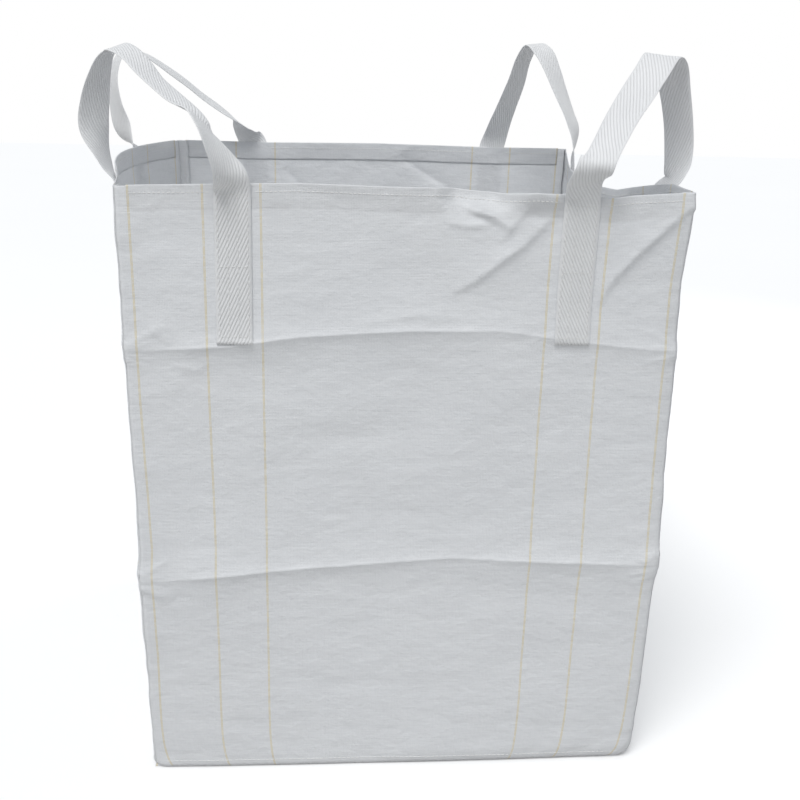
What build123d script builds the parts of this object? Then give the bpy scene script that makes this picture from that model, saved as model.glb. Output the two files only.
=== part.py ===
from build123d import *
import math
import os

# A four-panel bulk bag, empty and standing open, with a lift loop of belt webbing over each corner.
# The origin is the middle of the base's underside. The front panel faces -Y, and +Z is up.
# Every panel is drawn as if it were the front one, and turned about Z to its own side.

# Driving dimensions, in millimetres
bag_height = 1100.0
rim_half_width = 475.0
base_half_width = 465.0
fabric = 1.0
hem_depth = 40.0
hem_end_gap = 22.0
seam_allowance = 22.0
seam_clearance = 0.05
slack_start = 60.0
base_turn_up = 25.0
base_turn_up_end_gap = 24.0

belt_width = 60.0
belt_thickness = 2.4
belt_from_middle = 287.0
belt_clearance = 1.1
sewn_leg_bottom = 838.0
hinge_height = bag_height + 36.0
hinge_gap = 4.0
straight_run = 14.0
loop_stations = 18
twist_share = 0.36

thread = 0.8
row_width = 1.4
leg_rows = (-24.0, -8.0, 8.0, 24.0)
stitched_length = 236.0
hem_row_height = 12.0
hem_row_end_gap = 38.0
corner_row_inset = 12.0
corner_row_start = 32.0
thread_clearance = 0.15
base_row_height = 16.0
base_row_end_gap = 12.0

# How far slack cloth carries each rim outwards, at one third and two thirds of the panel's width
sides = {
    "front": {"turn": 0.0, "slack": (0.0, 0.0)},
    "right": {"turn": 90.0, "slack": (-10.0, -80.0)},
    "back": {"turn": 180.0, "slack": (0.0, 0.0)},
    "left": {"turn": 270.0, "slack": (170.0, 25.0)},
}

# Each loop runs from the first side to the next one round the bag. Its route is (along, up) in the upright
# plane through its two hinge points, from the first one, and it ends at the second.
loops = {
    "front_right": {
        "sides": ("front", "right"),
        "route": [(20, 50), (75, 95), (150, 150), (225, 190), (290, 180), (318, 125), (296, 60)],
    },
    "back_right": {
        "sides": ("right", "back"),
        "route": [(18, 80), (50, 150), (95, 210), (140, 213), (185, 165), (226, 90)],
    },
    "back_left": {
        "sides": ("back", "left"),
        "route": [(20, 50), (90, 92), (200, 128), (290, 165), (340, 165), (368, 118), (350, 58)],
    },
    "front_left": {
        "sides": ("left", "front"),
        "route": [(-30, 60), (-40, 118), (-5, 165), (60, 172), (132, 144), (208, 104), (268, 64)],
    },
}

# Where the belt's middle is on each side, and the name of the corner side that it is nearest to
belts = [
    ("front", -belt_from_middle, "left"),
    ("front", belt_from_middle, "right"),
    ("right", -belt_from_middle, "front"),
    ("right", belt_from_middle, "back"),
    ("back", -belt_from_middle, "right"),
    ("back", belt_from_middle, "left"),
    ("left", -belt_from_middle, "back"),
    ("left", belt_from_middle, "front"),
]


def half_width(z):
    """Half the bag's width at height z: the base is a little narrower than the rim."""
    return base_half_width + (rim_half_width - base_half_width) * z / bag_height


def slack_at(side, z):
    """A panel's two slack values at height z: none near the base, and all of it at the rim."""
    share = max(0.0, (z - slack_start) / (bag_height - slack_start))
    return [share * slack for slack in sides[side]["slack"]]


def bulge(side, x, z):
    """How far slack carries a panel's face outwards at x, z. It is a cubic across the width."""
    near, far = slack_at(side, z)
    t = (x / half_width(z) + 1) / 2
    return 3 * t * (1 - t) * ((1 - t) * near + t * far)


def on_face(side, x, z, out=0.0):
    """A point in front of a panel's outer face, in the bag's own axes."""
    turned = Plane.XY.rotated((0, 0, sides[side]["turn"]))
    return turned.from_local_coords(Vector(x, -half_width(z) - bulge(side, x, z) - out, z))


def level(side, z):
    """The level plane at height z, turned so that the panel is the front one."""
    return Plane.XY.rotated((0, 0, sides[side]["turn"])).offset(z)


def face_edge(side, start, end, z, inward=0.0):
    """The panel's face at height z from start to end, moved inwards: one cubic edge."""
    near, far = slack_at(side, z)
    half = half_width(z)
    whole = Bezier(
        (-half, -half + inward),
        (-half / 3, -half - near + inward),
        (half / 3, -half - far + inward),
        (half, -half + inward),
        mode=Mode.PRIVATE,
    )
    return whole.edge().trim((start / half + 1) / 2, (end / half + 1) / 2)


def add_strip(side, start, end, z, outer, inner):
    """A closed strip along the face, from start to end, between two insets."""
    near = add(face_edge(side, start, end, z, outer))
    far = add(face_edge(side, start, end, z, inner))
    Line(near.edge() @ 0, far.edge() @ 0)
    Line(near.edge() @ 1, far.edge() @ 1)


def belt_plane(side, x, out):
    """The upright plane in which a sewn leg lies, in front of the panel's face, looking outwards."""
    middle = (sewn_leg_bottom + bag_height) / 2
    across = on_face(side, x + belt_width / 2, middle) - on_face(side, x - belt_width / 2, middle)
    upwards = on_face(side, x, bag_height) - on_face(side, x, sewn_leg_bottom)
    outwards = across.cross(upwards).normalized()
    return Plane(origin=on_face(side, x, middle) + outwards * out, x_dir=across, z_dir=outwards)


def exit_point(side, x):
    """The middle of the belt where a sewn leg comes out over the rim."""
    plane = belt_plane(side, x, belt_clearance + belt_thickness / 2)
    return plane.from_local_coords(Vector(0, (bag_height - sewn_leg_bottom) / 2, 0))


def hinge_points(name):
    """The two points that a loop swings about, over its two exits."""
    first, second = loops[name]["sides"]
    ends = (exit_point(first, belt_from_middle), exit_point(second, -belt_from_middle))
    return [Vector(p.X, p.Y, hinge_height) for p in ends]


def hinge_line(side, x):
    """The level direction of the hinge that a sewn leg stands under."""
    for name, loop in loops.items():
        first, second = loop["sides"]
        if (side, x) in ((first, belt_from_middle), (second, -belt_from_middle)):
            start, end = hinge_points(name)
            return (end - start).normalized()


def seam_row(end, z, inset, away, width, depth):
    """The outline of a row on a seam allowance, at level z: its reach from the corner and off its face."""
    corner = half_width(z) - seam_clearance
    near = (inset, away), (inset + width, away)
    far = (inset + width, away + depth), (inset, away + depth)
    points = []
    for along, off in near + far:
        x = corner - fabric / 2 - (along + off) / math.sqrt(2)
        y = -corner + (along - off) / math.sqrt(2)
        points.append((end * x, y))
    return points


def ease(share):
    """0 to 1 with a level start and end."""
    share = min(max(share, 0.0), 1.0)
    return share * share * (3 - 2 * share)


os.makedirs("parts", exist_ok=True)

# Side panels: cloth, hem folded to the inside, and a seam allowance turned in at each corner
for side in sides:
    with BuildPart() as panel:
        for z in (0, slack_start, bag_height):
            with BuildSketch(level(side, z)):
                half = half_width(z)
                inner_end = half - 1.5 * fabric
                with BuildLine():
                    outer = add(face_edge(side, -half, half, z))
                    inner = add(face_edge(side, -inner_end, inner_end, z, fabric))
                    Line(outer.edge() @ 0, inner.edge() @ 0)
                    Line(outer.edge() @ 1, inner.edge() @ 1)
                make_face()
        loft(ruled=True)
        for end in (-1, 1):
            for z in (base_turn_up + fabric, bag_height):
                with BuildSketch(level(side, z)):
                    with BuildLine():
                        Polyline(*seam_row(end, z, fabric / 2, 0, seam_allowance, fabric), close=True)
                    make_face()
            loft(ruled=True)
        for z in (bag_height - hem_depth, bag_height):
            hem_end = half_width(z) - hem_end_gap
            with BuildSketch(level(side, z)):
                with BuildLine():
                    add_strip(side, -hem_end, hem_end, z, fabric / 2, 2 * fabric)
                make_face()
        loft(ruled=True)
    panel.part.label = f"{side}_panel"
    export_step(panel.part, f"parts/{side}_panel.step")

# Base panel: its four edges are turned up inside the side panels
base_inside = half_width(0) - fabric - seam_clearance
with BuildPart() as base_panel:
    with BuildSketch():
        Rectangle(2 * base_inside, 2 * base_inside)
    extrude(amount=fabric)
    with BuildSketch():
        for turn in (0, 90, 180, 270):
            with Locations(Location((0, 0, 0), (0, 0, turn))):
                with Locations((0, -base_inside + fabric / 2)):
                    Rectangle(2 * (base_inside - base_turn_up_end_gap), fabric)
    extrude(amount=base_turn_up)
base_panel.part.label = "base_panel"
export_step(base_panel.part, "parts/base_panel.step")

# Sewn legs of the lift loops, each with the short stub that stands over the rim and turns to its hinge line
for side, x, corner_side in belts:
    name = f"{side}_leg_near_{corner_side}"
    hinge_top = hinge_height - hinge_gap
    leg_plane = belt_plane(side, x, belt_clearance)
    with BuildPart() as leg:
        with BuildSketch(leg_plane):
            Rectangle(belt_width, bag_height - sewn_leg_bottom)
        extrude(amount=belt_thickness)
        root = exit_point(side, x)
        along_panel = leg_plane.x_dir
        along_hinge = hinge_line(side, x)
        if along_hinge.dot(along_panel) < 0:
            along_hinge = along_hinge * -1
        for share in (0, 0.25, 0.5, 0.75, 1):
            across = along_panel * (1 - ease(share)) + along_hinge * ease(share)
            across = Vector(across.X, across.Y, 0) if share else across
            middle = root + (Vector(root.X, root.Y, hinge_top) - root) * share
            upwards = leg_plane.y_dir if share == 0 else Vector(0, 0, 1)
            with BuildSketch(Plane(origin=middle, x_dir=across, z_dir=upwards)):
                Rectangle(belt_width, belt_thickness)
        loft(ruled=True)
    leg.part.label = name
    export_step(leg.part, f"parts/{name}.step")

# Free part of each lift loop: one belt that turns its face over at the top
for name, loop in loops.items():
    start, end = hinge_points(name)
    line = (end - start).normalized()
    span = (end - start).length
    outwards = line.cross(Vector(0, 0, 1))
    upright = Plane(origin=start, x_dir=line, z_dir=outwards)
    run_end = hinge_gap + straight_run
    with BuildPart() as belt:
        with BuildLine(upright) as route:
            Line((0, hinge_gap), (0, run_end))
            Spline((0, run_end), *loop["route"], (span, run_end), tangents=[(0, 1), (0, -1)])
            Line((span, run_end), (span, hinge_gap))
        path = route.wire()
        for station in range(loop_stations + 1):
            share = station / loop_stations
            along = path % share
            turned = math.pi / 2 * ease(min(share, 1 - share) / twist_share)
            in_plane = along.cross(outwards)
            across = in_plane * math.cos(turned) + outwards * math.sin(turned)
            with BuildSketch(Plane(origin=path @ share, x_dir=across, z_dir=along)):
                Rectangle(belt_width, belt_thickness)
        loft(ruled=True)
    belt.part.label = f"{name}_loop"
    export_step(belt.part, f"parts/{name}_loop.step")
    ends = [round(v, 1) for v in (*start, *end)]
    print(name, "belt length", round(path.length), "hinge", ends)

# Stitching that holds each sewn leg: long rows, closed by a row across each end
for side, x, corner_side in belts:
    name = f"{side}_leg_near_{corner_side}_stitching"
    with BuildPart() as stitching:
        with BuildSketch(belt_plane(side, x, belt_clearance + belt_thickness)):
            with Locations(*[(row, 0) for row in leg_rows]):
                Rectangle(row_width, stitched_length)
            with Locations((0, stitched_length / 2), (0, 0), (0, -stitched_length / 2)):
                Rectangle(leg_rows[-1] - leg_rows[0] + row_width, row_width)
        extrude(amount=thread)
    stitching.part.label = name
    export_step(stitching.part, f"parts/{name}.step")

# Hem stitching: a row round the rim, broken where the legs cover it
for side in sides:
    row_end = half_width(bag_height) - hem_end_gap
    breaks = belt_from_middle - hem_row_end_gap, belt_from_middle + hem_row_end_gap
    row_height = bag_height - hem_row_height
    with BuildPart() as hem_stitching:
        for first, last in ((-row_end, -breaks[1]), (-breaks[0], breaks[0]), (breaks[1], row_end)):
            with BuildSketch(level(side, row_height)):
                with BuildLine():
                    add_strip(side, first, last, row_height, -thread_clearance, -thread)
                make_face()
            extrude(amount=row_width)
    hem_stitching.part.label = f"{side}_hem_stitching"
    export_step(hem_stitching.part, f"parts/{side}_hem_stitching.step")

# Seam in each corner: a row of thread on the free face of both seam allowances
for name, loop in loops.items():
    with BuildPart() as corner_thread:
        for side, end in zip(loop["sides"], (1, -1)):
            for z in (corner_row_start, bag_height - corner_row_start):
                with BuildSketch(level(side, z)):
                    with BuildLine():
                        Polyline(*seam_row(end, z, corner_row_inset, fabric, row_width, thread), close=True)
                    make_face()
            loft(ruled=True)
    corner_thread.part.label = f"{name}_corner_thread"
    export_step(corner_thread.part, f"parts/{name}_corner_thread.step")

# Seam round the base: a row of thread near the foot of each side panel
with BuildPart() as base_thread:
    for side in sides:
        row_end = half_width(base_row_height) - base_row_end_gap
        with BuildSketch(level(side, base_row_height)):
            with BuildLine():
                add_strip(side, -row_end, row_end, base_row_height, -thread_clearance, -thread)
            make_face()
        extrude(amount=row_width)
base_thread.part.label = "base_thread"
export_step(base_thread.part, "parts/base_thread.step")
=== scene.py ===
import math

import bpy
import numpy as np
from mathutils import Matrix, Vector


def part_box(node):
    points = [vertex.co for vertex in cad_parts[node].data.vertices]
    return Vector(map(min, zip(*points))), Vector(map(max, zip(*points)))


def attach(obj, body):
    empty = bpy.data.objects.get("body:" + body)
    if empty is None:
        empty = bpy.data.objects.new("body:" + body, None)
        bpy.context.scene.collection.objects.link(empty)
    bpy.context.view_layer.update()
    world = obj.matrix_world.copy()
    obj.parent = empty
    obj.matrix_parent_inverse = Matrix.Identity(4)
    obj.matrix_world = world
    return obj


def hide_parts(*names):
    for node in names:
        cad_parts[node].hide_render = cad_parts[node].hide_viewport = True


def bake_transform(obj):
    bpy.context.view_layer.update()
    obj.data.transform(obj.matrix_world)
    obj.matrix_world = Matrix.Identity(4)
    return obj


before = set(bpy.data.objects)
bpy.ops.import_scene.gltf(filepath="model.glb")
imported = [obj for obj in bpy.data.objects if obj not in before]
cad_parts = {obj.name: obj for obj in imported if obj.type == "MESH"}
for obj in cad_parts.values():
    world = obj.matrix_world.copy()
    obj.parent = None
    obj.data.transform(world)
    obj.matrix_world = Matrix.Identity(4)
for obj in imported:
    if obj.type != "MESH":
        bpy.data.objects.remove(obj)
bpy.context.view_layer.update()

# An empty bulk bag of woven cloth, standing open: four panels, a base, four lift loops and their stitching.
# Every panel is drawn as if it were the front one, facing -Y, and turned about Z to its own side.
# "share" is a place across a panel, from -1 at its left corner to 1 at its right one.

# Sizes in metres, from the frame where it gives them
SIDES = ["front", "right", "back", "left"]
BAG_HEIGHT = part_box("front_panel")[1].z
RIM_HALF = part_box("front_panel")[1].x
BASE_HALF = RIM_HALF - 0.010
LEG_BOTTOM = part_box("front_leg_near_left")[0].z
BELT_X = (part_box("front_leg_near_right_stitching")[0].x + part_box("front_leg_near_right_stitching")[1].x) / 2
BELT_WIDTH = 0.060
BELT_THICKNESS = 0.0023
BELT_GAP = 0.0009
CLOTH_THICKNESS = 0.0011
HEM_DEPTH = 0.040
HEM_END = 0.955
ALLOWANCE = 0.022
TURN_UP = 0.025
FLAT_SHARE = 0.975
SLACK_START = 0.060
SLACK = {"front": (0.0, 0.0), "right": (-0.010, -0.080), "back": (0.0, 0.0), "left": (0.170, 0.025)}
MARKER_YARNS = (0.240, 0.333, 0.450)
MARKER_OFFSET = 0.0010
MARKER_HALF_WIDTH = 0.00065
HEM_GAP = 0.0026
HEM_GAP_LOSS = 0.0010
HEM_GAP_LOSS_START = 0.014
HEM_ROW_DEPTH = 0.012
CORNER_RADIUS = 0.009
FOOT_RADIUS = 0.022
BASE_HEIGHT = 0.0016
LEG_ROW_STEP = 0.0055
BELT_ROW_STEP = 0.0048
LEG_STITCHES_WIDE = 0.024
PANEL_COLUMNS = 175
SKY_STRENGTH = 0.50
SUN_STRENGTH = 1.70
FRONT_LAMP_WATTS = 4.5
REAR_LAMP_WATTS = 14

# Heights round the bag, in millimetres, as (side, place across it, height), on panels this far to each side
PANEL_HALF_MM = 475.0
RIM = [
    ("front", -475, 1097), ("front", -370, 1100), ("front", -178, 1105), ("front", -48, 1102),
    ("front", 62, 1101), ("front", 105, 1096), ("front", 157, 1093), ("front", 207, 1097),
    ("front", 253, 1095), ("front", 330, 1089), ("front", 370, 1094), ("front", 470, 1101),
    ("right", -460, 1101), ("right", -345, 1101), ("right", -290, 1094), ("right", -200, 1078),
    ("right", -120, 1064), ("right", 0, 1058), ("right", 170, 1058), ("right", 300, 1064),
    ("right", 390, 1084), ("right", 470, 1097), ("back", -300, 1096), ("back", 0, 1100),
    ("back", 260, 1097), ("back", 470, 1099), ("left", -300, 1097), ("left", 0, 1093), ("left", 300, 1096),
]
UPPER_CREASE = [
    ("front", -470, 823), ("front", -304, 833), ("front", -178, 851), ("front", 0, 862), ("front", 163, 862),
    ("front", 268, 848), ("front", 375, 835), ("front", 470, 826), ("right", -250, 836), ("right", 0, 852),
    ("right", 260, 846), ("right", 470, 836), ("back", -200, 848), ("back", 60, 860), ("back", 300, 846),
    ("back", 470, 834), ("left", -230, 846), ("left", 20, 856), ("left", 280, 838),
]
LOWER_CREASE = [
    ("front", -470, 396), ("front", -241, 415), ("front", 0, 432), ("front", 93, 438), ("front", 232, 431),
    ("front", 470, 420), ("right", -200, 426), ("right", 60, 434), ("right", 300, 424), ("right", 470, 414),
    ("back", -220, 424), ("back", 40, 436), ("back", 290, 420), ("back", 470, 404), ("left", -200, 414),
    ("left", 90, 426), ("left", 330, 408),
]

# How far each corner stands out beyond the plain shape at each height, sideways and lengthways, in mm
CORNER_HEIGHTS = (0, 25, 60, 240, 410, 460, 740, 930, 1100)
CORNER_SHIFT = {
    "front_left": ((6, 6, 7, 9, 6, 9, 1, 0, -1), (4, 2, 0, 2, -3, 0, 2, 0, 0)),
    "front_right": ((2, 4, 4, 7, 10, 12, 7, 4, 11), (4, 2, 0, 0, -4, -2, 2, 0, 0)),
    "back_right": ((-4, 0, 2, 5, 9, 4, -3, -3, 0), (-4, 0, 0, -4, 6, 4, 2, 0, 0)),
    "back_left": ((4, 0, -2, 4, -6, 0, 4, 2, 0), (-4, 0, 2, -5, 5, 2, -3, 0, 0)),
}

# Wrinkles, in millimetres: side, height, width on its left, width on its right, route
WRINKLES = [
    ("front", 6.5, 20, 4.5,
     [(77, 926), (115, 947), (150, 976), (174, 995), (194, 1009), (211, 1027), (241, 1059)]),
    ("front", 7.5, 22, 4.5,
     [(332, 909), (340, 935), (357, 961), (383, 993), (416, 1026), (449, 1060), (476, 1085)]),
    ("front", 3.5, 10, 4, [(152, 1012), (164, 1026), (181, 1051), (197, 1072)]),
    ("front", 6.5, 7, 5, [(96, 1074), (112, 1066), (135, 1059), (160, 1045), (172, 1034)]),
    ("front", -5.0, 6, 6, [(53, 1089), (78, 1070), (103, 1060), (124, 1052), (150, 1041)]),
    ("front", 4.2, 6, 4, [(66, 1046), (85, 1042), (100, 1040), (134, 1043)]),
    ("front", 3.0, 9, 6, [(-428, 866), (-412, 852), (-395, 836)]),
    ("front", 2.6, 9, 5, [(-390, 800), (-355, 790), (-330, 800)]),
    ("front", 4.0, 12, 6, [(472, 462), (463, 445), (440, 424)]),
    ("front", 2.2, 10, 8, [(330, 880), (300, 868), (250, 874)]),
    ("front", 2.4, 12, 8, [(-90, 870), (20, 890), (90, 884)]),
    ("right", 6.0, 24, 7, [(-420, 900), (-340, 960), (-250, 1010), (-190, 1060)]),
    ("right", 5.0, 20, 7, [(120, 1040), (190, 980), (250, 900), (330, 860)]),
    ("right", 3.5, 14, 6, [(-60, 1030), (10, 960), (40, 900)]),
    ("back", 5.0, 22, 6, [(-330, 900), (-260, 950), (-160, 1010), (-60, 1070)]),
    ("back", 4.0, 16, 6, [(60, 900), (150, 960), (220, 1040)]),
    ("back", 3.0, 14, 6, [(-400, 480), (-300, 530), (-220, 560)]),
    ("left", 5.5, 24, 7, [(-400, 890), (-300, 950), (-180, 1000), (-60, 1070)]),
    ("left", 4.0, 16, 6, [(90, 920), (170, 980), (240, 1060)]),
    ("left", 3.0, 14, 6, [(40, 470), (160, 520), (260, 540)]),
]

# Crumpling in metres: height, size of a cell, seed, and how many times wider than high a cell is
CRUMPLES = ((0.0026, 0.150, 11, 1.5), (0.0017, 0.070, 23, 1.7), (0.0009, 0.032, 37, 1.8))
CREASE_HEIGHT = 0.0070
CREST_HEIGHT = 0.0018

# Each loop runs from its first side up over the corner and down to its second side. Its stations are the
# belt's middle in millimetres, then which way its right-hand edge points: an azimuth and a rise in degrees.
LOOPS = {
    "front_right": ("front", "right", [
        (286, -500, 1117, 188, 0), (292, -514, 1136, 182, -4), (299, -517, 1150, 166, -8),
        (310, -506, 1164, 150, -8), (326, -484, 1184, 141, -2), (351, -455, 1219, 136, 9),
        (380, -429, 1256, 134, 20), (410, -398, 1291, 140, 16), (440, -358, 1319, 158, 6),
        (466, -321, 1306, 158, 3), (485, -301, 1262, 138, -2), (500, -291, 1208, 131, -5),
        (507, -288, 1159, 130, -5), (506, -291, 1128, 122, -3), (498, -295, 1104, 104, 0)]),
    "back_right": ("right", "back", [
        (450, 289, 1095, -98, 0), (452, 291, 1122, -110, 2), (450, 296, 1156, -124, -2),
        (437, 302, 1190, -128, 5), (413, 312, 1244, -138, 8), (396, 327, 1287, -142, 0),
        (378, 346, 1324, -140, -14), (357, 366, 1340, -134, -4), (341, 386, 1309, -134, 6),
        (329, 405, 1254, -140, 8), (314, 440, 1193, -150, 5), (304, 458, 1156, -160, 3),
        (296, 474, 1120, -172, 1)]),
    "back_left": ("back", "left", [
        (-304, 479, 1108, -12, 2), (-318, 466, 1128, -38, -4), (-329, 454, 1146, -66, -10),
        (-364, 438, 1173, -80, -14), (-406, 425, 1203, -79, -17), (-443, 405, 1234, -74, -21),
        (-479, 380, 1261, -70, -22), (-515, 354, 1286, -66, -18), (-548, 330, 1300, -63, -6),
        (-574, 310, 1294, -64, 4), (-591, 298, 1250, -63, 4), (-588, 291, 1191, -56, 4),
        (-574, 286, 1140, -44, 2), (-562, 284, 1114, -62, 4)]),
    "front_left": ("left", "front", [
        (-513, -289, 1108, 84, 0), (-523, -289, 1134, 72, 0), (-534, -288, 1177, 42, 2),
        (-530, -286, 1221, 46, 2), (-520, -286, 1264, 60, 4), (-507, -289, 1296, 70, 6),
        (-491, -297, 1309, 66, 12), (-471, -313, 1304, 52, 6), (-449, -335, 1288, 48, -4),
        (-427, -361, 1266, 46, -10), (-393, -400, 1241, 43, -11), (-366, -435, 1223, 39, -14),
        (-349, -465, 1213, 40, -22), (-336, -490, 1204, 54, -28), (-325, -503, 1187, 71, -12),
        (-313, -507, 1165, 71, 9), (-299, -503, 1138, 56, 18), (-289, -494, 1112, 24, 8)]),
}


# ---------------------------------------------------------------- the cloth's shape

def ease(t):
    """0 to 1 with level ends."""
    t = np.clip(t, 0.0, 1.0)
    return t * t * (3 - 2 * t)


def round_bag(side, share):
    """A place on the way round the bag, in panels: front 0 to 1, right 1 to 2, back 2 to 3, left 3 to 4."""
    return SIDES.index(side) + (share + 1) / 2


def height_round(marks, side, share):
    """A height that varies round the bag, read off its marks."""
    places = [round_bag(name, across / PANEL_HALF_MM) for name, across, _ in marks]
    heights = [height / 1000.0 for _, _, height in marks]
    return np.interp(round_bag(side, share), places, heights, period=4.0)


def noise(around, up, cell, seed, stretch=1.0):
    """Smooth random relief from -1 to 1 that closes on itself round the bag."""
    panel = 2 * RIM_HALF
    columns = max(4, int(round(4 * panel / (cell * stretch))))
    rows = int(1.6 / cell) + 4
    values = np.random.default_rng(seed).uniform(-1, 1, (rows, columns))
    a = (around / 4.0 * columns) % columns
    b = np.clip(up / cell + 1, 0, rows - 2)
    column = np.floor(a).astype(int)
    row = np.floor(b).astype(int)
    f, g = ease(a - column), ease(b - row)
    near, far = column % columns, (column + 1) % columns
    low = values[row, near] * (1 - f) + values[row, far] * f
    high = values[row + 1, near] * (1 - f) + values[row + 1, far] * f
    return low * (1 - g) + high * g


def creased(around, up, cell, seed, stretch=1.0):
    """Random relief with sharp folds, as in stiff cloth that has been packed flat."""
    drift = 0.35 * cell / (2 * RIM_HALF)
    shifted = around + drift * noise(around, up, 1.7 * cell, seed + 50)
    lifted = up + 0.35 * cell * noise(around, up, 1.7 * cell, seed + 51)
    return np.abs(noise(shifted, lifted, cell, seed, stretch)) - 0.33


def wrinkle(x, z, route, height, left, right):
    """The relief of one wrinkle: sharp along its route, and fading out to both sides and both ends."""
    route = np.array(route) / 1000.0
    runs = np.diff(route, axis=0)
    lengths = np.hypot(runs[:, 0], runs[:, 1])
    starts = np.concatenate([[0], np.cumsum(lengths)])
    best = np.full(x.shape, 9.0)
    signed = np.zeros(x.shape)
    along = np.zeros(x.shape)
    for start, run, length, before in zip(route, runs, lengths, starts):
        dx, dz = x - start[0], z - start[1]
        t = np.clip((dx * run[0] + dz * run[1]) / length ** 2, 0, 1)
        away = np.hypot(dx - t * run[0], dz - t * run[1])
        closer = away < best
        best = np.where(closer, away, best)
        signed = np.where(closer, run[0] * dz - run[1] * dx, signed)
        along = np.where(closer, before + t * length, along)
    share = along / starts[-1]
    width = np.where(signed > 0, left, right) / 1000.0
    fade = np.sqrt(np.clip(4 * share * (1 - share), 0, 1)) * 0.9 + 0.1
    soft = np.sqrt(best ** 2 + 0.0015 ** 2) - 0.0015
    return height / 1000.0 * fade * np.exp(-soft / width)


def belt_cover(side, x, z):
    """1 where a sewn leg lies on the cloth, falling to 0 beside it."""
    beside = ease((0.052 - np.abs(np.abs(x) - BELT_X)) / 0.018)
    return beside * ease((z - LEG_BOTTOM + 0.010) / 0.020)


def corner_pinches(x, z, side, share):
    """Short wrinkles that run in from each corner where the bag was folded."""
    total = np.zeros(x.shape)
    for seed, marks in ((3, UPPER_CREASE), (7, LOWER_CREASE)):
        rng = np.random.default_rng(seed + 10 * SIDES.index(side))
        for end in (-1, 1):
            level = float(height_round(marks, side, np.array(end * 0.99))) * 1000
            for angle in (-38, -17, 14, 33):
                reach = rng.uniform(35, 75)
                rise = math.sin(math.radians(angle + rng.uniform(-6, 6)))
                route = [(end * 474, level + 14 * rise), (end * (474 - reach), level + (reach + 14) * rise)]
                total += wrinkle(x, z, route, rng.uniform(1.2, 2.6), rng.uniform(5, 10), rng.uniform(4, 7))
    return total


def crease(side, share, z, marks, seed):
    """A fold right across the panel, standing outwards, from when the bag was packed."""
    around = round_bag(side, share)
    away = z - height_round(marks, side, share)
    strength = (1 + 0.30 * noise(around, z * 0, 0.16, seed)) * (1 - 0.85 * np.abs(share) ** 6)
    broad = CREASE_HEIGHT * np.where(away > 0, np.exp(-np.abs(away) / 0.036), np.exp(-np.abs(away) / 0.030))
    crest = CREST_HEIGHT * np.exp(-np.abs(away) / 0.006)
    return strength * (broad + crest)


def hem_lean(side, x, z, rim):
    """Where the front hem rolls inwards or leans out, and the right side stands out round a belt."""
    if side == "right":
        return 0.016 * ease((z - rim + 0.30) / 0.30) * np.exp(-((x + 0.320) / 0.075) ** 2)
    if side != "front":
        return np.zeros(x.shape)
    up = ease((z - rim + 0.040) / 0.040)
    inwards = ease((x - 0.045) / 0.040) * ease((0.178 - x) / 0.045)
    outwards = ease((x - 0.165) / 0.040) * ease((0.262 - x) / 0.020)
    beyond = ease((x - 0.318) / 0.012) * ease((0.372 - x) / 0.040)
    return up * (-0.019 * inwards + 0.016 * outwards + 0.006 * beyond)


def relief(side, share, x, z):
    """How far the cloth stands out from its plain shape."""
    around = round_bag(side, share)
    rim = height_round(RIM, side, share)
    rough = sum(height * creased(around, z, cell, seed, stretch) for height, cell, seed, stretch in CRUMPLES)
    rough += 0.0003 * noise(around, z, 0.014, 41, 2.2)
    total = rough * (1 - 0.65 * belt_cover(side, x, z))
    total += 0.0040 * noise(around, z, 0.34, 5)
    total += 0.0015 * noise(around, z, 0.13, 6)
    total += crease(side, share, z, UPPER_CREASE, 61)
    total += crease(side, share, z, LOWER_CREASE, 62)
    laid = corner_pinches(x, z, side, share)
    for name, height, left, right, route in WRINKLES:
        if name == side:
            laid += wrinkle(x, z, route, height, left, right)
    total += laid * (1 - 0.5 * belt_cover(side, x, z))
    total += hem_lean(side, x, z, rim)
    return total * ease((z + 0.012) / 0.045)


def turned(side, points):
    """Points of the front panel, turned to their own side."""
    angle = SIDES.index(side) * math.pi / 2
    c, s = round(math.cos(angle)), round(math.sin(angle))
    x, y, z = points[..., 0], points[..., 1], points[..., 2]
    return np.stack([c * x - s * y, s * x + c * y, z], -1)


def corner_names(side):
    """The corners at the left and right ends of a panel."""
    order = ["front_left", "front_right", "back_right", "back_left"]
    first = SIDES.index(side)
    return order[first], order[(first + 1) % 4]


def corner_pull(side, share, z):
    """The whole bag's lean at its corners, felt less and less towards the middle of a panel."""
    total = np.zeros(share.shape + (2,))
    for corner, end in zip(corner_names(side), (-1, 1)):
        weight = np.clip(end * share, 0, 1) ** 2.5
        for axis in (0, 1):
            shift = np.interp(z * 1000, CORNER_HEIGHTS, CORNER_SHIFT[corner][axis]) / 1000.0
            total[..., axis] += weight * shift
    return total


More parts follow.
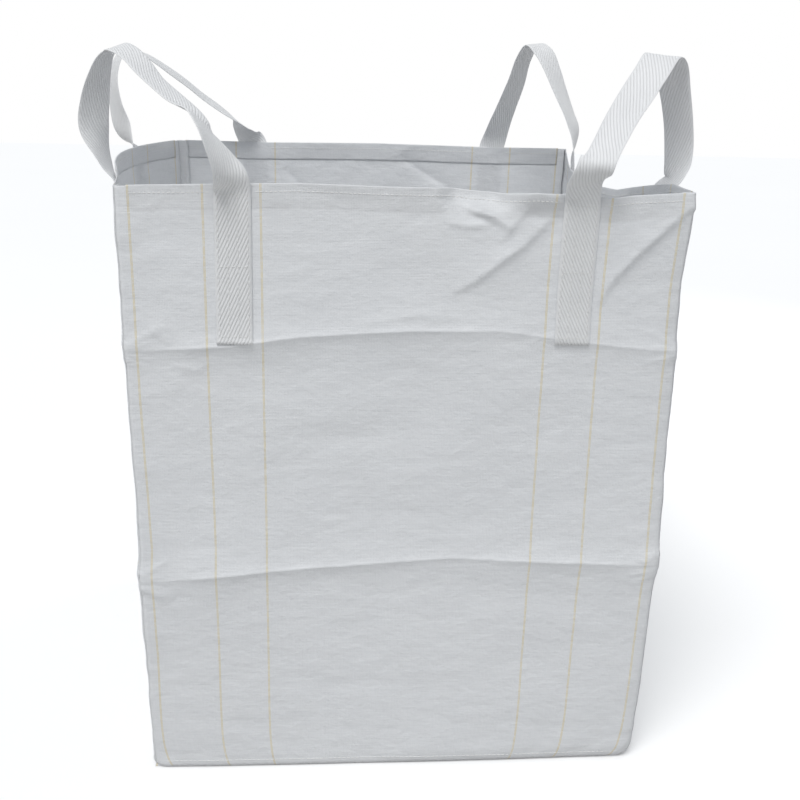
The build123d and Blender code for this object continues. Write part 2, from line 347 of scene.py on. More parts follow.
def face(side, share, z, out=0.0):
    """Points on a panel's outer face in the bag's own axes, and the level direction out of it."""
    share, z = np.broadcast_arrays(np.asarray(share, float), np.asarray(z, float))
    half = BASE_HALF + (RIM_HALF - BASE_HALF) * z / BAG_HEIGHT
    radius = CORNER_RADIUS + FOOT_RADIUS * np.exp(-np.maximum(z, 0) / 0.035)
    beyond = np.clip((np.abs(share) - FLAT_SHARE) / (1 - FLAT_SHARE), 0, 1)
    angle = beyond * math.pi / 4
    end = np.sign(share)
    flat = half - radius
    x_flat = np.clip(share / FLAT_SHARE, -1, 1) * flat
    across = x_flat + end * radius * np.sin(angle)
    away = flat + radius * np.cos(angle)
    near, far = SLACK[side]
    t = (x_flat / flat + 1) / 2
    slack = np.maximum(0, (z - SLACK_START) / (BAG_HEIGHT - SLACK_START))
    swell = slack * 3 * t * (1 - t) * ((1 - t) * near + t * far)
    foot = 0.006 * np.clip(1 - z / 0.012, 0, 1) ** 2
    outwards = np.stack([end * np.sin(angle), -np.cos(angle), 0 * z], -1)
    plain = np.stack([across, -away, z], -1)
    rise = relief(side, share, x_flat, z) + swell - foot + out
    points = turned(side, plain + outwards * rise[..., None])
    points[..., :2] += corner_pull(side, share, z)
    return points, turned(side, outwards)


def share_at(x, z):
    """The place across a panel of a point x from its middle, at height z."""
    half = BASE_HALF + (RIM_HALF - BASE_HALF) * z / BAG_HEIGHT
    return x * FLAT_SHARE / (half - CORNER_RADIUS)


# ---------------------------------------------------------------- mesh building

def make_object(name, points, quads, uvs, material):
    """A smooth mesh object from arrays of points, faces and one texture place for each point."""
    mesh = bpy.data.meshes.new(name)
    mesh.from_pydata(np.asarray(points).tolist(), [], np.asarray(quads).tolist())
    layer = mesh.uv_layers.new(name="cloth_metres")
    corners = np.zeros(len(mesh.loops), int)
    mesh.loops.foreach_get("vertex_index", corners)
    layer.data.foreach_set("uv", np.asarray(uvs, float)[corners].ravel())
    mesh.polygons.foreach_set("use_smooth", np.ones(len(mesh.polygons), bool))
    mesh.materials.append(material)
    made = bpy.data.objects.new(name, mesh)
    bpy.context.scene.collection.objects.link(made)
    return made


def quads_of(index):
    """The faces between the rows and columns of a grid of point numbers."""
    return np.stack([index[:-1, :-1], index[:-1, 1:], index[1:, 1:], index[1:, :-1]], -1).reshape(-1, 4)


def thicken(made, thickness):
    """Gives a sheet its thickness, inwards from the face that was drawn."""
    solid = made.modifiers.new("thickness", "SOLIDIFY")
    solid.thickness = thickness
    solid.offset = -1.0
    solid.use_even_offset = False
    depsgraph = bpy.context.evaluated_depsgraph_get()
    mesh = bpy.data.meshes.new_from_object(made.evaluated_get(depsgraph))
    made.modifiers.clear()
    made.data = mesh


def clustered(count):
    """Shares from 0 to 1 that lie closer together at both ends."""
    t = np.linspace(0, 1, count)
    return 0.45 * t + 0.55 * (1 - np.cos(math.pi * t)) / 2


def panel_levels(side, share):
    """The heights of a panel's rows, which follow both creases and the rim."""
    lower = height_round(LOWER_CREASE, side, share)
    upper = height_round(UPPER_CREASE, side, share)
    rim = height_round(RIM, side, share)
    foot = np.full(share.shape, 0.0012)
    rows = []
    for low, high, count in ((foot, lower, 82), (lower, upper, 86), (upper, rim, 66)):
        steps = clustered(count + 1)[:-1, None]
        rows.append(low + (high - low) * steps)
    rows.append(rim[None, :])
    return np.concatenate(rows)


def seam_directions(side, end):
    """Which way the seam allowance at one end of a panel lies, and the way off it into the bag.
    Both allowances of a corner lie back against the panel that ends there on its right."""
    lean = math.radians(5)
    if end > 0:
        along, aside = (-math.cos(lean), math.sin(lean), 0.0), (math.sin(lean), math.cos(lean), 0.0)
    else:
        along, aside = (math.sin(lean), math.cos(lean), 0.0), (math.cos(lean), -math.sin(lean), 0.0)
    return turned(side, np.array(along)), turned(side, np.array(aside))


def panel_cloth(side, material):
    """One side panel: its face, the hem folded over inside, and the seam allowance behind each corner."""
    bend = np.linspace(FLAT_SHARE, 1, 6)[1:]
    share = np.concatenate([-bend[::-1], np.linspace(-FLAT_SHARE, FLAT_SHARE, PANEL_COLUMNS), bend])
    levels = panel_levels(side, share)
    points, outwards = face(side, share[None, :], levels)
    place = np.broadcast_to(share[None, :] * RIM_HALF, levels.shape)
    rows, columns = levels.shape
    index = np.arange(rows * columns).reshape(rows, columns)
    all_points, all_uvs = [points.reshape(-1, 3)], [np.stack([place, levels], -1).reshape(-1, 2)]
    quads = [quads_of(index)]
    count = rows * columns

    # Hem: over the rim and down the inside
    hemmed = np.abs(share) < HEM_END
    top, back = points[-1, hemmed], -outwards[-1, hemmed]
    wave = 0.0004 * (1 + noise(round_bag(side, share[hemmed]), np.full(hemmed.sum(), 0.3), 0.09, 71))
    hem_rows = []
    for turn in (36, 72, 108, 144, 180):
        angle = math.radians(turn)
        hem_rows.append((HEM_GAP / 2 * (1 - math.cos(angle)), HEM_GAP / 2 * math.sin(angle)))
    for depth in np.linspace(0.004, HEM_DEPTH, 9):
        closing = max(0.0, (depth - HEM_GAP_LOSS_START) / (HEM_DEPTH - HEM_GAP_LOSS_START))
        hem_rows.append((HEM_GAP - HEM_GAP_LOSS * closing, -depth))
    hem, uvs = [], []
    for number, (inwards, up) in enumerate(hem_rows):
        if up < 0:
            below = height_round(RIM, side, share[hemmed]) + up
            followed, _ = face(side, share[hemmed], below)
            followed[:, 2] = top[:, 2] + up
        else:
            followed = top + np.array([0, 0, up])
        spread = wave * (max(0.0, -up) / HEM_DEPTH)
        hem.append(followed + back * (inwards + spread)[:, None])
        uvs.append(np.stack([place[-1, hemmed], levels[-1, hemmed] + 0.004 * number], -1))
    width = int(hemmed.sum())
    hem_numbers = count + np.arange(len(hem) * width).reshape(len(hem), width)
    hem_index = np.concatenate([index[-1:, hemmed], hem_numbers])
    quads.append(quads_of(hem_index))
    all_points += [np.concatenate(hem)]
    all_uvs += [np.concatenate(uvs)]
    count += len(hem) * width

    # Seam allowances: from each corner inwards along the diagonal
    for end, column in ((-1, 0), (1, columns - 1)):
        along, aside = seam_directions(side, end)
        kept = levels[:, column] > 0.004
        line = points[kept, column]
        flare = noise(np.full(kept.sum(), 0.2 * end + SIDES.index(side)), levels[kept, column], 0.11, 83)
        strips, uvs = [], []
        for reach in (0.0015, 0.007, 0.0145, ALLOWANCE):
            bent = (0.0016 if end < 0 else 0.0) + (0.0012 + 0.0012 * flare) * (reach / ALLOWANCE) ** 2
            strips.append(line + along * reach + aside * bent[:, None])
            uvs.append(np.stack([np.full(kept.sum(), end * (RIM_HALF + reach)), levels[kept, column]], -1))
        tall = int(kept.sum())
        numbers = count + np.arange(4 * tall).reshape(4, tall)
        strip_index = np.concatenate([index[kept, column][None, :], numbers])
        strip_index = strip_index.T if end > 0 else strip_index.T[:, ::-1]
        quads.append(quads_of(strip_index))
        all_points.append(np.concatenate(strips))
        all_uvs.append(np.concatenate(uvs))
        count += 4 * tall

    cloth = make_object(f"{side}_cloth", np.concatenate(all_points), np.concatenate(quads),
                        np.concatenate(all_uvs), material)
    thicken(cloth, CLOTH_THICKNESS)
    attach(cloth, "bag")
    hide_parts(f"{side}_panel")


def base_cloth(material):
    """The base: a square sheet on the floor with its edges turned up inside the panels."""
    half = BASE_HALF - 0.012
    steps = np.linspace(-half, half, 111)
    x, y = np.meshgrid(steps, steps)
    inner = ease((half - np.maximum(np.abs(x), np.abs(y))) / 0.10)
    lift = 0.0030 * noise(x * 2 + 2, y + 0.5, 0.19, 91) + 0.0024 * creased(x * 2 + 2, y + 0.5, 0.12, 93)
    fold = 0.006 * (np.exp(-np.abs(x) / 0.03) + np.exp(-np.abs(y + 0.015) / 0.03))
    z = BASE_HEIGHT + inner * np.maximum(0.0, 0.0045 + lift + fold)
    points = [np.stack([x, y, z], -1).reshape(-1, 3)]
    uvs = [np.stack([x, y], -1).reshape(-1, 2)]
    index = np.arange(x.size).reshape(x.shape)
    quads = [quads_of(index)]
    count = x.size
    inset = np.abs(steps) < half - 0.028
    for side, edge in (("front", index[0, :]), ("right", index[:, -1]), ("back", index[-1, ::-1]),
                       ("left", index[::-1, 0])):
        rows = []
        for reach, up in ((0.003, 0.0008), (0.0052, 0.004), (0.0058, 0.010), (0.0060, 0.018),
                          (0.0056, TURN_UP)):
            away, height = np.full(steps.shape, -half - reach), np.full(steps.shape, BASE_HEIGHT + up)
            rows.append(turned(side, np.stack([steps, away, height], -1))[inset])
        width = int(inset.sum())
        numbers = count + np.arange(len(rows) * width).reshape(len(rows), width)
        quads.append(quads_of(np.concatenate([edge[inset][None, :], numbers])[::-1]))
        points.append(np.concatenate(rows))
        uvs.append(np.concatenate([np.stack([steps[inset], steps[inset] * 0 - half - up], -1)
                                   for up in (0.003, 0.006, 0.012, 0.020, 0.027)]))
        count += len(rows) * width
    cloth = make_object("base_cloth", np.concatenate(points), np.concatenate(quads),
                        np.concatenate(uvs), material)
    thicken(cloth, CLOTH_THICKNESS)
    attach(cloth, "bag")
    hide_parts("base_panel")


# ---------------------------------------------------------------- lift loops

BELT_SECTION = [(-1, 0.30), (-0.985, 0.72), (-0.93, 0.96), (-0.75, 1), (-0.5, 1), (-0.25, 1), (0, 1),
                (0.25, 1), (0.5, 1), (0.75, 1), (0.93, 0.96), (0.985, 0.72), (1, 0.30)]


def unit(vectors):
    """Vectors of length 1."""
    return vectors / np.linalg.norm(vectors, axis=-1, keepdims=True)


def smooth_route(knots, step):
    """Points about one step apart on a smooth curve through all knots but the first and last."""
    knots = np.asarray(knots, float)
    gaps = np.linalg.norm(np.diff(knots[:, :3], axis=0), axis=1) ** 0.5
    at = np.concatenate([[0], np.cumsum(gaps)])
    slopes = np.gradient(knots, at, axis=0)
    made = []
    for first in range(1, len(knots) - 2):
        length = np.linalg.norm(knots[first + 1, :3] - knots[first, :3])
        pieces = max(2, int(round(length / step)))
        t = np.linspace(0, 1, pieces, endpoint=False)[:, None]
        span = at[first + 1] - at[first]
        made.append((2 * t**3 - 3 * t**2 + 1) * knots[first] + (t**3 - 2 * t**2 + t) * span * slopes[first]
                    + (3 * t**2 - 2 * t**3) * knots[first + 1] + (t**3 - t**2) * span * slopes[first + 1])
    return np.concatenate(made + [knots[-2:-1]])


def leg_rows(side, end):
    """A sewn leg's rows from bottom to top: the belt's mid-thickness at its columns, and the way out."""
    x = end * BELT_X
    middle_share = share_at(np.array(x), np.array(BAG_HEIGHT))
    top = float(height_round(RIM, side, middle_share)) - 0.010
    z = np.linspace(LEG_BOTTOM, top, int((top - LEG_BOTTOM) / LEG_ROW_STEP))[:, None]
    columns = np.array([place for place, _ in BELT_SECTION])[None, :] * BELT_WIDTH / 2
    share = share_at(x + columns, z)
    points, outwards = face(side, share, z + 0 * share, BELT_GAP + BELT_THICKNESS / 2)
    return points, outwards


def belt_loop(corner, material):
    """One lift loop: a sewn leg, the free belt over the corner, and the other sewn leg, in one length."""
    first, second, stations = LOOPS[corner]
    up_points, up_out = leg_rows(first, 1)
    down_points, down_out = leg_rows(second, -1)
    up_points, up_out = up_points[:, ::-1], up_out[:, ::-1]
    down_points, down_out = down_points[::-1], down_out[::-1]
    middle = len(BELT_SECTION) // 2
    knots = []
    for row in (-9, -1):
        knots.append([*up_points[row, middle], *unit(up_points[row, -1] - up_points[row, 0])])
    for x, y, z, azimuth, rise in stations:
        a, r = math.radians(azimuth), math.radians(rise)
        edgewise = [math.cos(a) * math.cos(r), math.sin(a) * math.cos(r), math.sin(r)]
        knots.append([x / 1000, y / 1000, z / 1000, *edgewise])
    for row in (0, 8):
        knots.append([*down_points[row, middle], *unit(down_points[row, -1] - down_points[row, 0])])
    route = smooth_route(knots, BELT_ROW_STEP)
    centre = route[:, :3]
    along = unit(np.gradient(centre, axis=0))
    across = route[:, 3:] - (route[:, 3:] * along).sum(1)[:, None] * along
    across = unit(across)
    out = unit(np.cross(along, across))
    columns = np.array([place for place, _ in BELT_SECTION]) * BELT_WIDTH / 2
    free = centre[:, None] + across[:, None] * columns[None, :, None]
    free_out = np.broadcast_to(out[:, None], free.shape)
    points = np.concatenate([up_points, free[1:-1], down_points])
    outwards = np.concatenate([up_out, free_out[1:-1], down_out])
    for _ in range(2):
        for join in (len(up_points), len(points) - len(down_points)):
            low, high = join - 5, join + 5
            for values in (points, outwards):
                before, after = values[low - 1:high - 1], values[low + 1:high + 1]
                values[low:high] = (before + 2 * values[low:high] + after) / 4
    outwards = unit(outwards)
    thickness = np.array([part for _, part in BELT_SECTION]) * BELT_THICKNESS / 2
    outer = points + outwards * thickness[None, :, None]
    inner = points - outwards * thickness[None, :, None]
    ring = np.concatenate([outer, inner[:, ::-1]], 1)
    rows, width = ring.shape[:2]
    index = np.arange(rows * width).reshape(rows, width)
    index = np.concatenate([index, index[:, :1]], 1)
    half = len(BELT_SECTION)
    quads = [quads_of(index)[:, ::-1]]
    for row, flip in ((0, False), (rows - 1, True)):
        cap = np.stack([index[row, :half], index[row, half:2 * half][::-1]])
        quads.append(quads_of(cap)[:, ::-1] if flip else quads_of(cap))
    run = np.concatenate([[0], np.cumsum(np.linalg.norm(np.diff(points[:, middle], axis=0), axis=1))])
    place = np.concatenate([columns, columns[::-1]])
    slant = -1 if corner == "front_right" else 1
    uvs = np.stack(np.broadcast_arrays(slant * place[None, :], run[:, None]), -1).reshape(-1, 2)
    loop = make_object(f"{corner}_belt", ring.reshape(-1, 3), np.concatenate(quads), uvs, material)
    near = {"front_right": ("front_leg_near_right", "right_leg_near_front"),
            "back_right": ("right_leg_near_back", "back_leg_near_right"),
            "back_left": ("back_leg_near_left", "left_leg_near_back"),
            "front_left": ("left_leg_near_front", "front_leg_near_left")}[corner]
    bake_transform(loop)
    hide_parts(f"{corner}_loop", *near)


# ---------------------------------------------------------------- stitching

def stitch_row(points, outwards, pitch, length, radius):
    """Arrays of points and faces of a row of stitches laid along a line on the cloth."""
    gaps = np.linalg.norm(np.diff(points, axis=0), axis=1)
    run = np.concatenate([[0], np.cumsum(gaps)])
    count = max(1, int(run[-1] / pitch))
    centres = (np.arange(count) + 0.5) * run[-1] / count
    made_points, made_quads = [], []
    rings = [(-0.5, 0.25, -0.9), (-0.40, 0.80, -0.1), (-0.15, 1.0, 0.45),
             (0.15, 1.0, 0.45), (0.40, 0.80, -0.1), (0.5, 0.25, -0.9)]
    turns = np.arange(6) * math.pi / 3
    for centre in centres:
        ends = [centre - length / 2, centre, centre + length / 2]
        a, b, c = [np.array([np.interp(e, run, points[:, k]) for k in range(3)]) for e in ends]
        out = unit(np.array([np.interp(centre, run, outwards[:, k]) for k in range(3)]))
        along = unit(c - a)
        out = unit(out - along * out.dot(along))
        side = np.cross(along, out)
        first = len(made_points) * 36
        ring_points = []
        for t, size, lift in rings:
            middle = b + (c - a) * t + out * radius * lift
            around = np.cos(turns)[:, None] * side + np.sin(turns)[:, None] * out
            ring_points.append(middle + size * radius * around)
        made_points.append(np.concatenate(ring_points))
        index = first + np.arange(36).reshape(6, 6)
        index = np.concatenate([index, index[:, :1]], 1)
        made_quads.append(quads_of(index))
    return np.concatenate(made_points), np.concatenate(made_quads)


def stitching(name, rows, material, pitch=0.0085, length=0.0072, radius=0.00060):
    """One piece of stitching, from rows of points on the cloth and the ways out of it."""
    all_points, all_quads, count = [], [], 0
    for points, outwards in rows:
        made, quads = stitch_row(points, outwards, pitch, length, radius)
        all_points.append(made)
        all_quads.append(quads + count)
        count += len(made)
    joined = np.concatenate(all_points)
    piece = make_object(f"{name}_stitches", joined, np.concatenate(all_quads), joined[:, [0, 2]], material)
    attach(piece, "bag")
    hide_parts(name)


def leg_stitching(side, end, name, material):
    """Long rows up a sewn leg, closed by a row across each end and its middle."""
    x = end * BELT_X
    rim = float(height_round(RIM, side, share_at(np.array(x), np.array(BAG_HEIGHT))))
    low, high = LEG_BOTTOM + 0.013, rim - 0.016
    out = BELT_GAP + BELT_THICKNESS + 0.0001
    rows = []
    for across in np.array((-1, -1 / 3, 1 / 3, 1)) * LEG_STITCHES_WIDE:
        z = np.linspace(low, high, 60)
        rows.append(face(side, share_at(x + across, z), z, out))
    for z in (low, (low + high) / 2, high):
        across = np.linspace(-LEG_STITCHES_WIDE, LEG_STITCHES_WIDE, 9)
        rows.append(face(side, share_at(x + across, np.full(9, z)), np.full(9, z), out))
    stitching(name, rows, material)


def hem_stitching(side, material):
    """A row round the rim through the hem, broken where the legs cover it."""
    rows = []
    end, leg = HEM_END * RIM_HALF, BELT_X
    for first, last in ((-end, -leg - 0.036), (-leg + 0.036, leg - 0.036), (leg + 0.036, end)):
        x = np.linspace(first, last, 90)
        share = share_at(x, np.full(90, BAG_HEIGHT))
        z = height_round(RIM, side, share) - HEM_ROW_DEPTH
        rows.append(face(side, share, z, 0.0001))
        points, outwards = face(side, share, z, -HEM_GAP - 0.0002)
        rows.append((points, -outwards))
    stitching(f"{side}_hem_stitching", rows, material, pitch=0.0075, length=0.0063)


def corner_stitching(corner, material):
    """The seam behind a corner, seen on the free face of its seam allowances."""
    side = LOOPS[corner][1]
    z = np.linspace(0.032, 1.060, 300)
    points, _ = face(side, np.full(300, -1.0), z)
    along, aside = seam_directions(side, -1)
    row = points + along * 0.012 + aside * 0.0034
    stitching(f"{corner}_corner_thread", [(row, np.broadcast_to(aside, row.shape))], material)


def base_stitching(material):
    """The seam round the foot of the bag."""
    rows = []
    for side in SIDES:
        share = np.linspace(-0.965, 0.965, 220)
        rows.append(face(side, share, np.full(220, 0.016), 0.0001))
    stitching("base_thread", rows, material)


# ---------------------------------------------------------------- materials

class Nodes:
    """A short way to write a material's node tree."""

    def __init__(self, name):
        self.material = bpy.data.materials.new(name)
        self.material.use_nodes = True
        self.tree = self.material.node_tree
        self.shader = self.tree.nodes["Principled BSDF"]

    def add(self, kind, inputs=None, **settings):
        node = self.tree.nodes.new(kind)
        for key, value in settings.items():
            setattr(node, key, value)
        for key, value in (inputs or {}).items():
            if isinstance(value, bpy.types.NodeSocket):
                self.tree.links.new(value, node.inputs[key])
            else:
                node.inputs[key].default_value = value
        return node

    def math(self, operation, first, second=0.0):
        return self.add("ShaderNodeMath", {0: first, 1: second}, operation=operation).outputs[0]

    def noise(self, vector, scale, detail=3.0, rough=0.55):
        inputs = {"Vector": vector, "Scale": scale, "Detail": detail, "Roughness": rough}
        return self.add("ShaderNodeTexNoise", inputs).outputs["Fac"]

    def stretched(self, x, y, z, across, up):
        inputs = {"X": self.math("MULTIPLY", x, across), "Y": self.math("MULTIPLY", y, up), "Z": z}
        return self.add("ShaderNodeCombineXYZ", inputs).outputs[0]

    def mix(self, factor, first, second):
        node = self.add("ShaderNodeMix", {0: factor}, data_type="RGBA")
        for socket, value in ((node.inputs[6], first), (node.inputs[7], second)):
            if isinstance(value, bpy.types.NodeSocket):
                self.tree.links.new(value, socket)
            else:
                socket.default_value = value
        return node.outputs[2]

    def ramp(self, value, low, high, to_low=0.0, to_high=1.0):
        inputs = {"Value": value, "From Min": low, "From Max": high, "To Min": to_low, "To Max": to_high}
        return self.add("ShaderNodeMapRange", inputs).outputs[0]

    def translucent(self, weight, reach):
        """Lets light through a thin sheet, evenly in all colours."""
        self.shader.inputs["Subsurface Weight"].default_value = weight
        self.shader.inputs["Subsurface Radius"].default_value = (1.0, 1.0, 1.0)
        self.shader.inputs["Subsurface Scale"].default_value = reach

    def link(self, output, socket):
        self.tree.links.new(output, self.shader.inputs[socket])

    def bump(self, height, distance):
        node = self.add("ShaderNodeBump", {"Height": height, "Distance": distance, "Strength": 1.0})
        self.link(node.outputs[0], "Normal")


def woven_material():
    """White woven tape cloth: flat tapes over and under, with painted shade where the tapes dip at their edges,
    faint streaks, and the yarns that mark the belts.
    """
    n = Nodes("woven_tape_cloth")
    uv = n.add("ShaderNodeUVMap", uv_map="cloth_metres").outputs[0]
    split = n.add("ShaderNodeSeparateXYZ", {0: uv})
    x, y = split.outputs[0], split.outputs[1]
    tape = 0.0026
    wave_x = n.math("ABSOLUTE", n.math("SINE", n.math("MULTIPLY", x, math.pi / tape)))
    wave_y = n.math("ABSOLUTE", n.math("SINE", n.math("MULTIPLY", y, math.pi / tape)))
    over = n.add("ShaderNodeTexChecker", {"Vector": uv, "Scale": 1 / tape}).outputs["Fac"]
    under = n.math("SUBTRACT", 1.0, over)
    weave = n.math("ADD", n.math("MULTIPLY", wave_x, over), n.math("MULTIPLY", wave_y, under))
    streaks = n.noise(n.stretched(x, y, 0.0, 14, 420), 1.0, 2.0)
    warp = n.noise(n.stretched(x, y, 3.0, 420, 5), 1.0, 2.0)
    patches = n.noise(n.stretched(x, y, 7.0, 2.2, 3.4), 1.0, 4.0)
    rubbed = n.noise(n.stretched(x, y, 11.0, 26, 34), 1.0, 5.0, 0.6)
    tone = n.math("ADD", n.math("MULTIPLY", n.ramp(streaks, 0.3, 0.7), 0.5),
                  n.math("ADD", n.math("MULTIPLY", n.ramp(patches, 0.3, 0.7), 0.3),
                         n.math("MULTIPLY", n.ramp(warp, 0.3, 0.7), 0.2)))
    colour = n.mix(tone, (0.770, 0.785, 0.808, 1), (0.862, 0.873, 0.890, 1))
    # Painted shade: the colour darkens where each tape dips at its edges and passes under its neighbours.
    colour = n.mix(n.math("MULTIPLY", n.math("SUBTRACT", 1.0, weave), 0.20), colour, (0.64, 0.65, 0.67, 1))
    colour = n.mix(n.ramp(rubbed, 0.60, 0.78, 0.0, 0.22), colour, (0.76, 0.755, 0.745, 1))
    line = None
    side_x = n.math("ABSOLUTE", x)
    for place in MARKER_YARNS:
        for offset in (-MARKER_OFFSET, MARKER_OFFSET):
            away = n.math("ABSOLUTE", n.math("SUBTRACT", side_x, place + offset))
            near = n.math("LESS_THAN", away, MARKER_HALF_WIDTH)
            line = near if line is None else n.math("MAXIMUM", line, near)
    dashes = n.ramp(n.noise(n.stretched(x, y, 5.0, 40, 190), 1.0, 1.0), 0.30, 0.55, 0.62, 0.95)
    colour = n.mix(n.math("MULTIPLY", line, dashes), colour, (0.77, 0.67, 0.45, 1))
    n.link(colour, "Base Color")
    n.link(n.ramp(streaks, 0.25, 0.75, 0.42, 0.62), "Roughness")
    n.shader.inputs["Specular IOR Level"].default_value = 0.42
    n.translucent(0.35, 0.004)
    height = n.math("ADD", n.math("MULTIPLY", weave, 0.30), n.math("MULTIPLY", streaks, 0.45))
    height = n.math("ADD", height, n.math("MULTIPLY", warp, 0.15))
    height = n.math("ADD", height, n.math("MULTIPLY", n.noise(n.stretched(x, y, 2.0, 60, 85), 1.0, 4.0), 2.2))
    height = n.math("ADD", height, n.math("MULTIPLY", n.noise(n.stretched(x, y, 9.0, 19, 30), 1.0, 3.0), 4.0))
    n.bump(height, 0.0006)
    return n.material


def belt_material():
    """White belt webbing: a steep twill of thick yarns, with a plain edge on each side, and painted shade in
    the twill's valleys and between its yarns.
    """
    n = Nodes("twill_belt_webbing")
    uv = n.add("ShaderNodeUVMap", uv_map="cloth_metres").outputs[0]
    split = n.add("ShaderNodeSeparateXYZ", {0: uv})
    x, y = split.outputs[0], split.outputs[1]
    rib_across, rib_along, yarn_pitch, cord_pitch = 0.0058, 0.0125, 0.0017, 0.0026
    slant = n.math("ADD", n.math("MULTIPLY", x, 1 / rib_across), n.math("MULTIPLY", y, 1 / rib_along))
    rib = n.math("ABSOLUTE", n.math("SINE", n.math("MULTIPLY", slant, math.pi)))
    yarn = n.math("ABSOLUTE", n.math("SINE", n.math("MULTIPLY", y, math.pi / yarn_pitch)))
    cord = n.math("ABSOLUTE", n.math("SINE", n.math("MULTIPLY", x, math.pi / cord_pitch)))
    edge = n.ramp(n.math("ABSOLUTE", x), 0.0262, 0.0272)
    inner = n.math("SUBTRACT", 1.0, edge)
    ribbed = n.math("MULTIPLY", n.math("POWER", rib, 0.6), inner)
    height = n.math("ADD", ribbed, n.math("MULTIPLY", yarn, 0.22))
    height = n.math("ADD", height, n.math("MULTIPLY", n.math("MULTIPLY", cord, edge), 0.6))
    fuzz = n.noise(n.stretched(x, y, 0.0, 600, 600), 1.0, 2.0)
    wear = n.noise(n.stretched(x, y, 4.0, 30, 12), 1.0, 3.0)
    height = n.math("ADD", height, n.math("MULTIPLY", fuzz, 0.10))
    painted_valley_shade = n.math("MULTIPLY", n.math("SUBTRACT", 1.0, rib), inner)
    colour = n.mix(n.ramp(wear, 0.3, 0.7), (0.885, 0.892, 0.905, 1), (0.94, 0.945, 0.955, 1))
    # Painted shade: the colour darkens in the recessed valleys between the twill's ribs.
    colour = n.mix(n.math("MULTIPLY", painted_valley_shade, 0.26), colour, (0.62, 0.61, 0.60, 1))
    # Painted shade: the colour darkens in the gaps between the yarns.
    colour = n.mix(n.math("MULTIPLY", n.math("SUBTRACT", 1.0, yarn), 0.12), colour, (0.58, 0.58, 0.58, 1))
    n.link(colour, "Base Color")
    n.link(n.ramp(fuzz, 0.3, 0.7, 0.62, 0.80), "Roughness")
    n.shader.inputs["Specular IOR Level"].default_value = 0.3
    n.shader.inputs["Sheen Weight"].default_value = 0.12
    n.translucent(0.30, 0.006)
    n.bump(height, 0.0011)
    return n.material


def thread_material():
    """White twisted sewing thread."""
    n = Nodes("sewing_thread")
    place = n.add("ShaderNodeTexCoord").outputs["Object"]
    twist = n.noise(place, 1500.0, 2.0)
    tone = n.noise(place, 60.0, 2.0)
    n.link(n.mix(tone, (0.80, 0.80, 0.79, 1), (0.90, 0.90, 0.89, 1)), "Base Color")
    n.link(n.ramp(tone, 0.3, 0.7, 0.55, 0.75), "Roughness")
    n.shader.inputs["Sheen Weight"].default_value = 0.1
    n.bump(twist, 0.0002)
    return n.material


# ---------------------------------------------------------------- studio

def floor_material():
    """A pale, plain floor with a very faint mottling."""
    n = Nodes("studio_floor")
    tone = n.noise(n.add("ShaderNodeTexCoord").outputs["Object"], 0.8, 2.0)
    seen = n.mix(tone, (0.975, 0.975, 0.975, 1), (0.995, 0.995, 0.995, 1))
    bounced = n.add("ShaderNodeLightPath").outputs["Is Diffuse Ray"]
    n.link(n.mix(bounced, seen, (0.41, 0.405, 0.395, 1)), "Base Color")
    n.shader.inputs["Roughness"].default_value = 0.9
    n.shader.inputs["Specular IOR Level"].default_value = 0.1
    n.shader.inputs["Emission Color"].default_value = (1, 1, 1, 1)
    n.shader.inputs["Emission Strength"].default_value = 0.07
    return n.material


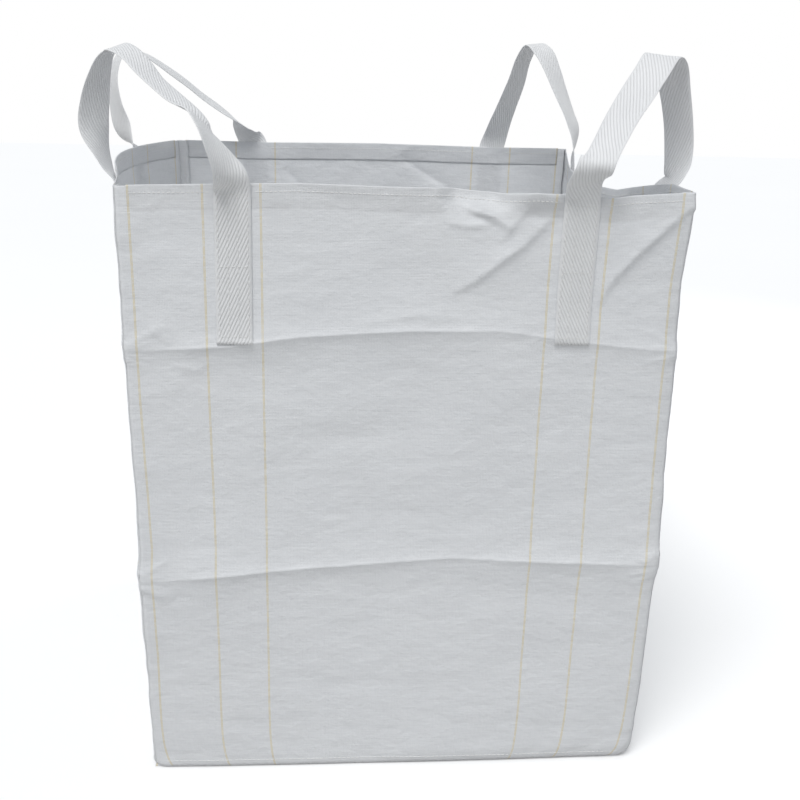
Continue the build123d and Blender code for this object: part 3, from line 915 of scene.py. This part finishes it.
def build_studio():
    """A pale floor, an even white surround, a soft sun from above and a lamp in front and behind."""
    mesh = bpy.data.meshes.new("studio_floor")
    reach, height = 14, -0.0006
    corners = [(x * reach, y * reach, height) for x, y in ((-1, -1), (1, -1), (1, 1), (-1, 1))]
    mesh.from_pydata(corners, [], [(0, 1, 2, 3)])
    mesh.materials.append(floor_material())
    floor = bpy.data.objects.new("studio_floor", mesh)
    bpy.context.scene.collection.objects.link(floor)

    world = bpy.data.worlds.new("studio_surround")
    bpy.context.scene.world = world
    world.use_nodes = True
    tree = world.node_tree
    background = tree.nodes["Background"]
    background.inputs["Color"].default_value = (0.92, 0.958, 1.0, 1)
    background.inputs["Strength"].default_value = SKY_STRENGTH
    seen = tree.nodes.new("ShaderNodeBackground")
    seen.inputs["Color"].default_value = (1.0, 1.0, 1.0, 1)
    path = tree.nodes.new("ShaderNodeLightPath")
    either = tree.nodes.new("ShaderNodeMixShader")
    tree.links.new(path.outputs["Is Camera Ray"], either.inputs[0])
    tree.links.new(background.outputs[0], either.inputs[1])
    tree.links.new(seen.outputs[0], either.inputs[2])
    tree.links.new(either.outputs[0], tree.nodes["World Output"].inputs["Surface"])

    def lamp(name, place, target, size, power, colour):
        light = bpy.data.lights.new(name, "AREA")
        light.shape = "RECTANGLE"
        light.size, light.size_y = size
        light.energy = power
        light.color = colour
        made = bpy.data.objects.new(name, light)
        made.location = place
        made.rotation_euler = (Vector(target) - Vector(place)).to_track_quat("-Z", "Y").to_euler()
        bpy.context.scene.collection.objects.link(made)

    sun = bpy.data.lights.new("overhead_light", "SUN")
    sun.energy = SUN_STRENGTH
    sun.angle = math.radians(30)
    sun.color = (1.0, 0.997, 0.99)
    above = bpy.data.objects.new("overhead_light", sun)
    above.rotation_euler = Vector((0.25, 0.55, -1.0)).to_track_quat("-Z", "Y").to_euler()
    bpy.context.scene.collection.objects.link(above)
    lamp("front_light", (-2.4, -3.0, 1.7), (0, 0, 0.9), (1.6, 1.6), FRONT_LAMP_WATTS, (1.0, 0.995, 0.985))
    lamp("rear_light", (2.8, 2.6, 2.2), (0, 0, 0.8), (1.6, 1.6), REAR_LAMP_WATTS, (1.0, 0.995, 0.985))


def place_camera():
    """The camera looks down a little on the bag from in front and left of its middle."""
    lens = bpy.data.cameras.new("camera")
    lens.lens = 50.4
    lens.sensor_width = 36
    camera = bpy.data.objects.new("camera", lens)
    place = Matrix.Translation((-0.1716, -2.3186, 1.3089))
    yaw = Matrix.Rotation(-0.08977, 4, "Z")
    pitch = Matrix.Rotation(math.pi / 2 - 0.29887, 4, "X")
    roll = Matrix.Rotation(0.02730, 4, "Z")
    camera.matrix_world = place @ yaw @ pitch @ roll
    bpy.context.scene.collection.objects.link(camera)
    bpy.context.scene.camera = camera
    bpy.context.scene.view_settings.view_transform = "Standard"


# ---------------------------------------------------------------- the scene

place_camera()
build_studio()
woven = woven_material()
belting = belt_material()
thread = thread_material()
for side in SIDES:
    panel_cloth(side, woven)
    hem_stitching(side, thread)
base_cloth(woven)
base_stitching(thread)
for corner in LOOPS:
    belt_loop(corner, belting)
    corner_stitching(corner, thread)
for side, left, right in (("front", "left", "right"), ("right", "front", "back"), ("back", "right", "left"),
                          ("left", "back", "front")):
    leg_stitching(side, -1, f"{side}_leg_near_{left}_stitching", thread)
    leg_stitching(side, 1, f"{side}_leg_near_{right}_stitching", thread)
